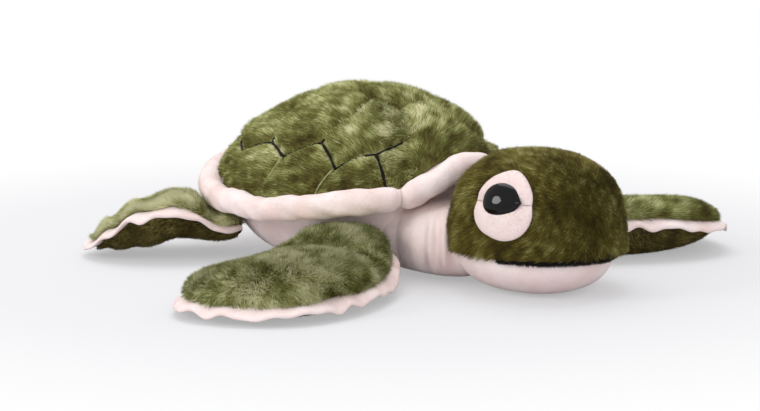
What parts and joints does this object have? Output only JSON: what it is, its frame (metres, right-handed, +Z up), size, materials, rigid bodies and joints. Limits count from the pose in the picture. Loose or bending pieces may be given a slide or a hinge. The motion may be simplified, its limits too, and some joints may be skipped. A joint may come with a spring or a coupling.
{
  "type": "plush turtle",
  "caption": "Stuffed sea turtle with a domed green plush shell, pale rolled rim, turning neck, nodding head, glossy eyes and hinged flippers with ruffled trim.",
  "frame": {"origin": "on the floor, on the flat of the belly, under the middle of the shell", "axes": "-Y is the way the turtle looks, +X is its left, +Z is up"},
  "size_m": [0.3799, 0.3027, 0.1035],
  "materials": {
    "green_plush": "long-pile plush, mottled green",
    "dark_green_plush": "short-pile plush, dark green",
    "pink_velour": "short-pile velour, pale pink",
    "black_thread": "dull thread",
    "polyester_fibre": "loose white fibre",
    "black_acrylic": "polished",
    "washer_plastic": "moulded"
  },
  "bodies": {
    "torso": {"shell_cover": "green_plush", "belly_cover": "pink_velour", "body_stuffing": "polyester_fibre", "rim_front": "pink_velour", "rim_left": "pink_velour", "rim_right": "pink_velour"},
    "neck": {"neck_cover": "pink_velour", "neck_stuffing": "polyester_fibre"},
    "head": {"head_cover": "green_plush", "jaw_cover": "pink_velour", "head_stuffing": "polyester_fibre", "mouth_cord": "black_thread", "eye_right": "black_acrylic", "eye_washer_right": "washer_plastic", "eye_patch_upper_right": "pink_velour", "eye_patch_lower_right": "pink_velour", "eye_left": "black_acrylic", "eye_washer_left": "washer_plastic", "eye_patch_upper_left": "pink_velour", "eye_patch_lower_left": "pink_velour"},
    "front_right_flipper": {"front_right_flipper_top": "green_plush", "front_right_flipper_under": "dark_green_plush", "front_right_flipper_trim": "pink_velour", "front_right_flipper_stuffing": "polyester_fibre"},
    "front_left_flipper": {"front_left_flipper_top": "green_plush", "front_left_flipper_under": "dark_green_plush", "front_left_flipper_trim": "pink_velour", "front_left_flipper_stuffing": "polyester_fibre"},
    "rear_right_flipper": {"rear_right_flipper_top": "green_plush", "rear_right_flipper_under": "dark_green_plush", "rear_right_flipper_trim": "pink_velour", "rear_right_flipper_stuffing": "polyester_fibre"},
    "rear_left_flipper": {"rear_left_flipper_top": "green_plush", "rear_left_flipper_under": "dark_green_plush", "rear_left_flipper_trim": "pink_velour", "rear_left_flipper_stuffing": "polyester_fibre"}
  },
  "joints": [
    {"name": "neck_turn", "type": "hinge", "parent": "torso", "child": "neck", "pos_m": [0, -0.088, 0.022], "axis": [0, 0, 1], "range_deg": [-12, 12], "stiffness_Nm_per_rad": 0.04},
    {"name": "head_nod", "type": "hinge", "parent": "neck", "child": "head", "pos_m": [0, -0.158, 0.044], "axis": [-0.9945, -0.1045, 0], "range_deg": [-8, 18], "stiffness_Nm_per_rad": 0.04},
    {"name": "front_right_flipper_flap", "type": "hinge", "parent": "torso", "child": "front_right_flipper", "pos_m": [-0.06965, -0.05724, 0.02], "axis": [-0.5299, 0.848, 0], "range_deg": [-20, 15], "stiffness_Nm_per_rad": 0.02},
    {"name": "front_left_flipper_flap", "type": "hinge", "parent": "torso", "child": "front_left_flipper", "pos_m": [0.06965, -0.05724, 0.02], "axis": [-0.5299, -0.848, 0], "range_deg": [-20, 15], "stiffness_Nm_per_rad": 0.02},
    {"name": "rear_right_flipper_flap", "type": "hinge", "parent": "torso", "child": "rear_right_flipper", "pos_m": [-0.06412, 0.03758, 0.0185], "axis": [0.5878, 0.809, 0], "range_deg": [-20, 15], "stiffness_Nm_per_rad": 0.02},
    {"name": "rear_left_flipper_flap", "type": "hinge", "parent": "torso", "child": "rear_left_flipper", "pos_m": [0.06412, 0.03758, 0.0185], "axis": [0.5878, -0.809, 0], "range_deg": [-20, 15], "stiffness_Nm_per_rad": 0.02}
  ]
}
